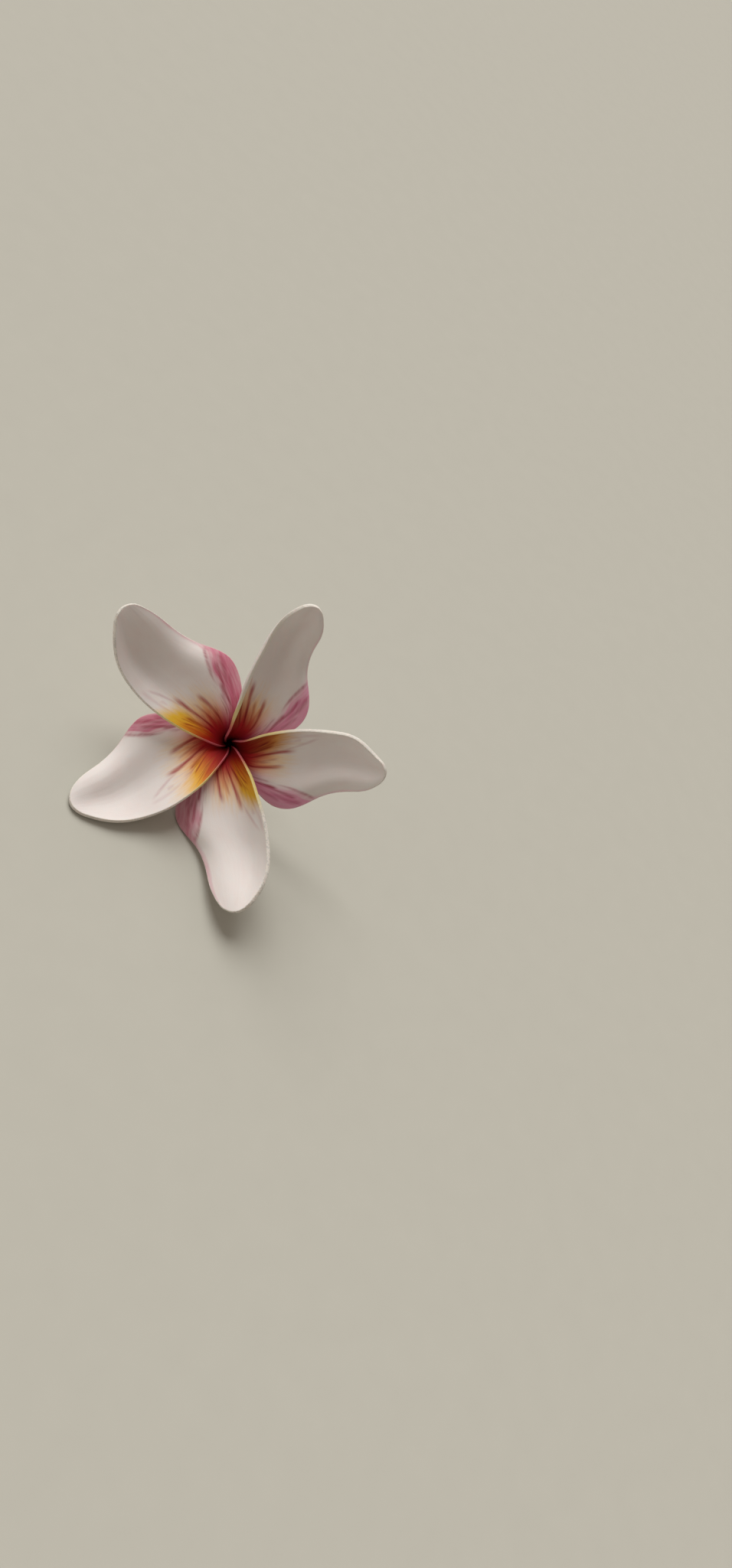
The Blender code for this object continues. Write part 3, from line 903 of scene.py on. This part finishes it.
def petal_blade(name, number, flower, finishes):
    """A sheet given its thickness, with a front, a back and a crisp cut rim."""
    petal = PETALS[name]
    sheet = petal_sheet(petal)
    faces = [list(face.vertices) for face in sheet.polygons]
    middle = np.array([vertex.co for vertex in sheet.vertices])
    normal = np.array([vertex.normal for vertex in sheet.vertices])
    plan = np.zeros((len(middle), 2))
    for loop, uv in zip(sheet.loops, sheet.uv_layers["plan"].data):
        plan[loop.vertex_index] = uv.uv
    bpy.data.meshes.remove(sheet)

    half = np.array([thickness_at(row) / 2 for row, _ in plan])
    relief = np.array([vein_relief(row, across, number * VEIN_SEED) for row, across in plan])
    front = middle + normal * ((half + relief) * MM)[:, None]
    back = middle - normal * ((half - relief) * MM)[:, None]

    rim = boundary_loop(faces)
    ring = middle[rim]
    along = np.roll(ring, -1, axis=0) - np.roll(ring, 1, axis=0)
    outward = np.cross(along, normal[rim])
    outward /= np.linalg.norm(outward, axis=1, keepdims=True)
    travelled = np.cumsum(np.linalg.norm(ring - np.roll(ring, 1, axis=0), axis=1)) / MM
    swells = [Vector((s * CHATTER_PER_MM, number * CHATTER_SEED, 0.0)) for s in travelled]
    chatter = np.array([noise.noise(place) for place in swells])
    rings, depths = rim_rings(front[rim], back[rim], outward, chatter)
    mesh = blade_mesh(name, faces, rim, front, back, rings)

    # What the shaders read at each point: first the front's, then the back's, then the rings'.
    plans = np.concatenate([plan, plan] + [plan[rim]] * len(rings))
    rows = plans[:, 0]
    full, gone = SLANT_ROWS
    slant, scale, shift = petal["print"]
    slanted = slant * np.clip(1 - (rows - full) / (gone - full), 0.0, 1.0) ** 2
    along_rim = np.zeros(len(front))
    along_rim[rim] = travelled
    strength, ends = petal["gold"]
    values = {
        "row": rows,
        "across": plans[:, 1] * scale + shift + slanted,
        "seed": number * DYE_SEED,
        "gold": strength,
        "gold_end": ends,
        "crimson": petal["crimson"],
        "wear": petal["wear"],
        "blush": petal["blush"],
        "raised_shade": petal["raised_shade"],
        "around": np.concatenate([along_rim, along_rim] + [travelled] * len(rings)),
        "depth": np.repeat([1.0, -1.0, *depths], [len(front), len(back)] + [len(rim)] * len(rings)),
    }
    for key, value in values.items():
        store(mesh, key, np.broadcast_to(value, len(rows)))
    return mesh_object(name + "_blade", mesh, flower, *finishes)


def store(mesh, name, values):
    """Gives every vertex of a mesh a number, for the shaders to read."""
    attribute = mesh.attributes.new(name, "FLOAT", "POINT")
    attribute.data.foreach_set("value", np.array(values, np.float32))


def store_turned(mesh):
    """Height and angle round the flower's axis, of a mesh in the flower's own frame."""
    store(mesh, "height", [vertex.co.z / MM for vertex in mesh.vertices])
    store(mesh, "around", [math.atan2(vertex.co.y, vertex.co.x) for vertex in mesh.vertices])


def eased(points):
    """A line of (radius, height) points with its bends softened, and its ends kept."""
    for _ in range(EASING_PASSES):
        between = zip(points, points[1:], points[2:])
        softened = [((a[0] + 2 * b[0] + c[0]) / 4, (a[1] + 2 * b[1] + c[1]) / 4) for a, b, c in between]
        points = [points[0], *softened, points[-1]]
    return points


def tube_profile():
    """Its inner and its outer profile, as lists of (radius, height), mm."""
    rows = [FOOT + (MOUTH_ROW - FOOT) * i / MOUTH_STEPS for i in range(MOUTH_STEPS + 1)]
    wall = [mouth_wall(row, MOUTH_GAP) for row in rows]
    outside = [mouth_wall(row, MOUTH_GAP + MOUTH_WALL) for row in reversed(rows)]
    floor = wall[0][1] - CLEARANCE
    bottom = TUBE_FOOT + BORE_BOTTOM
    wider, over = BORE_FLARE
    bore = [(0.0, bottom), (BORE_RADIUS, bottom), (BORE_RADIUS, floor - over),
            (BORE_RADIUS + wider, floor), (wall[0][0], floor)]
    wide, top = outside[-1]
    neck = []
    for i in range(1, NECK_STEPS + 1):
        share = i / NECK_STEPS
        radius = wide + (TUBE_RADIUS - wide) * smoothstep(NECK_EASE, 1.0, share)
        neck.append((radius, top + (NECK_FOOT - top) * share))
    foot = [(TUBE_RADIUS, TUBE_FOOT + TUBE_CHAMFER), (TUBE_RADIUS - TUBE_CHAMFER, TUBE_FOOT),
            (0.0, TUBE_FOOT)]
    return bore + wall, eased(outside + neck) + foot


def tube_ring(bm, radius, height, ridged):
    """A ring of points round the axis, or one point on it."""
    if radius == 0.0:
        return [bm.verts.new((0.0, 0.0, height * MM))]
    depth = RIDGE_HEIGHT * smoothstep(*RIDGES_RISE, height) if ridged else 0.0
    ring = []
    for i in range(TUBE_SIDES):
        angle = math.tau * i / TUBE_SIDES
        out = (radius + depth * (math.cos(TUBE_RIDGES * angle) - 1.0)) * MM
        ring.append(bm.verts.new((out * math.cos(angle), out * math.sin(angle), height * MM)))
    return ring


def tube_piece(flower, skin, inside):
    """The trumpet of the tube, with five low ridges where the petals run down it."""
    inner, outer = tube_profile()
    bm = bmesh.new()
    rings = [tube_ring(bm, radius, height, False) for radius, height in inner]
    rings += [tube_ring(bm, radius, height, True) for radius, height in outer]
    for index, (lower, upper) in enumerate(zip(rings, rings[1:])):
        for i in range(TUBE_SIDES):
            j = (i + 1) % TUBE_SIDES
            corners = lower[:1] if len(lower) == 1 else [lower[i], lower[j]]
            corners += upper[:1] if len(upper) == 1 else [upper[j], upper[i]]
            face = bm.faces.new(corners)
            face.material_index = 1 if index < len(inner) - 1 else 0
    bmesh.ops.recalc_face_normals(bm, faces=bm.faces)
    mesh = bpy.data.meshes.new("corolla_tube_skin")
    bm.to_mesh(mesh)
    bm.free()
    store_turned(mesh)
    return mesh_object("corolla_tube_skin", mesh, flower, skin, inside)


def calyx_piece(flower, finish):
    """The lobed cup, smoothed."""
    bm = bmesh.new()
    segments, rings = CALYX_SEGMENTS
    bmesh.ops.create_uvsphere(bm, u_segments=segments, v_segments=rings, radius=1.0)
    above = [vertex for vertex in bm.verts if vertex.co.z > 0.01]
    bmesh.ops.delete(bm, geom=above, context="VERTS")
    for vertex in bm.verts:
        x, y, z = vertex.co
        lobes = 0.5 + 0.5 * math.cos(CALYX_LOBES * math.atan2(y, x))
        out = math.hypot(x, y)
        radius = CALYX_RADIUS * out**CALYX_FULLNESS / max(out, 1e-6)
        height = TUBE_FOOT + CALYX_WALL / 2 - CALYX_BOWL * max(-z, 0.0) ** 2
        if out > CALYX_RIM:
            height += (out - CALYX_RIM) / (1 - CALYX_RIM) * (CALYX_SIDE + CALYX_LOBE_HEIGHT * lobes)
        vertex.co = Vector((x * radius, y * radius, height)) * MM

    def thicken(draft):
        solid = draft.modifiers.new("thickness", "SOLIDIFY")
        solid.thickness = CALYX_WALL * MM
        solid.offset = 0.0
        rounding = draft.modifiers.new("rounding", "SUBSURF")
        rounding.levels = 1

    mesh = settled_mesh(bm, thicken)
    store_turned(mesh)
    return mesh_object("calyx_cup", mesh, flower, finish)


def pedicel_piece(flower, skin, cut_face):
    """The stalk, cut along the ground."""
    bm = bmesh.new()
    length = PEDICEL_TOP - PEDICEL_END
    middle = Matrix.Translation((0.0, 0.0, (PEDICEL_TOP + PEDICEL_END) / 2 * MM))
    bmesh.ops.create_cone(bm, cap_ends=True, segments=PEDICEL_SIDES, depth=length * MM,
                          radius1=PEDICEL_RADIUS * MM,
                          radius2=PEDICEL_RADIUS * PEDICEL_SWELLING * MM, matrix=middle)
    ground = flower.inverted()
    down = ground.to_3x3() @ Vector((0.0, 0.0, -1.0))
    bmesh.ops.bisect_plane(bm, geom=bm.verts[:] + bm.edges[:] + bm.faces[:],
                           plane_co=ground.translation, plane_no=down, clear_outer=True)
    rim = [each for each in bm.edges if each.is_boundary]
    caps = bmesh.ops.edgeloop_fill(bm, edges=rim)["faces"]
    for face in caps:
        face.material_index = 1
    bmesh.ops.recalc_face_normals(bm, faces=bm.faces)
    mesh = bpy.data.meshes.new("pedicel_stalk")
    bm.to_mesh(mesh)
    bm.free()
    store_turned(mesh)
    made = mesh_object("pedicel_stalk", mesh, flower, skin, cut_face)
    made.data.set_sharp_from_angle(angle=CUT_ANGLE)
    return made


# -------------------------------------------------------------------------------------------- scene


def flower_frame(tube):
    """The flower's own frame: +Z out of its face, and its origin in the middle of the throat."""
    turn = Matrix.Rotation(LEAN, 4, "X") @ Matrix.Rotation(TURN, 4, "Z")
    upright = turn.inverted()
    points = np.array([upright @ vertex.co for vertex in tube.data.vertices])
    low = points.min(axis=0)
    high = points.max(axis=0)
    centre = Vector(((low[0] + high[0]) / 2, (low[1] + high[1]) / 2, low[2] - TUBE_FOOT * MM))
    return Matrix.Translation(turn @ centre) @ turn


def add_light(flower, name, source, width, strength):
    """A wide, soft light from far away. source points to it, in the flower's own frame."""
    light = bpy.data.lights.new(name, "SUN")
    light.angle = width
    light.energy = strength
    light.color = LIGHT_COLOUR
    made = bpy.data.objects.new(name, light)
    bpy.context.scene.collection.objects.link(made)
    towards = flower.to_3x3() @ Vector(source)
    made.matrix_world = towards.to_track_quat("Z", "Y").to_matrix().to_4x4()


def add_floor(height):
    """A plain pale floor at a height."""
    bm = bmesh.new()
    bmesh.ops.create_grid(bm, x_segments=1, y_segments=1, size=FLOOR_SIZE / 2)
    mesh = bpy.data.meshes.new("floor")
    bm.to_mesh(mesh)
    bm.free()
    finish = Finish("floor_paper", 0.85)
    darker = tuple(FLOOR_MOTTLE * part for part in FLOOR_COLOUR)
    finish.paint(finish.between(FLOOR_COLOUR, darker, finish.noise(finish.place(), 90.0, 3.0)))
    mesh.materials.append(finish.material)
    floor = bpy.data.objects.new("floor", mesh)
    bpy.context.scene.collection.objects.link(floor)
    floor.location.z = height


def add_camera(flower):
    """It looks down the flower's axis from above the throat, turned a little aside."""
    data = bpy.data.cameras.new("camera")
    data.lens = CAMERA_LENS
    data.sensor_width = CAMERA_SENSOR
    camera = bpy.data.objects.new("camera", data)
    bpy.context.scene.collection.objects.link(camera)
    aim = Matrix.Rotation(CAMERA_TILT, 4, "X") @ Matrix.Rotation(CAMERA_PAN, 4, "Y")
    camera.matrix_world = flower @ Matrix.Translation((0.0, 0.0, CAMERA_HEIGHT)) @ aim
    bpy.context.scene.camera = camera


def add_sky():
    """The even light of the room."""
    world = bpy.data.worlds.new("sky")
    world.use_nodes = True
    background = world.node_tree.nodes["Background"]
    set_colour(background.inputs["Color"], SKY_COLOUR)
    background.inputs["Strength"].default_value = SKY_STRENGTH
    bpy.context.scene.world = world


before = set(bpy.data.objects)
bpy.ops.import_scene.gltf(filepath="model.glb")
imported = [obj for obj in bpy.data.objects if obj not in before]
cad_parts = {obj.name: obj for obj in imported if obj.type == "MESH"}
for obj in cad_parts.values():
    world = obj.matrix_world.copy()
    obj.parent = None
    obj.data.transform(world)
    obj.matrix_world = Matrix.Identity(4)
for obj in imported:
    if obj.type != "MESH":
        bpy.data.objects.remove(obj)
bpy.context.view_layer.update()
flower = flower_frame(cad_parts["corolla_tube"])

blade_finishes = (petal_face(), petal_back(), petal_rim())
for number, name in enumerate(PETALS):
    blade = petal_blade(name, number, flower, blade_finishes)
    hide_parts(name)

tube = tube_piece(flower, tube_skin(), tube_inside())
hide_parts("corolla_tube")

calyx = calyx_piece(flower, green_skin("calyx_green", *CALYX_GREEN))
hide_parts("calyx")

stalk = pedicel_piece(flower, green_skin("pedicel_green", *PEDICEL_GREEN), cut_end())
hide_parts("pedicel")

bpy.context.scene.view_settings.view_transform = "Standard"
add_sky()
add_light(flower, "key", *KEY)
add_light(flower, "fill", *FILL)
visual_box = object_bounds()
add_floor(min(visual_box[0].z, 0.0))
add_camera(flower)
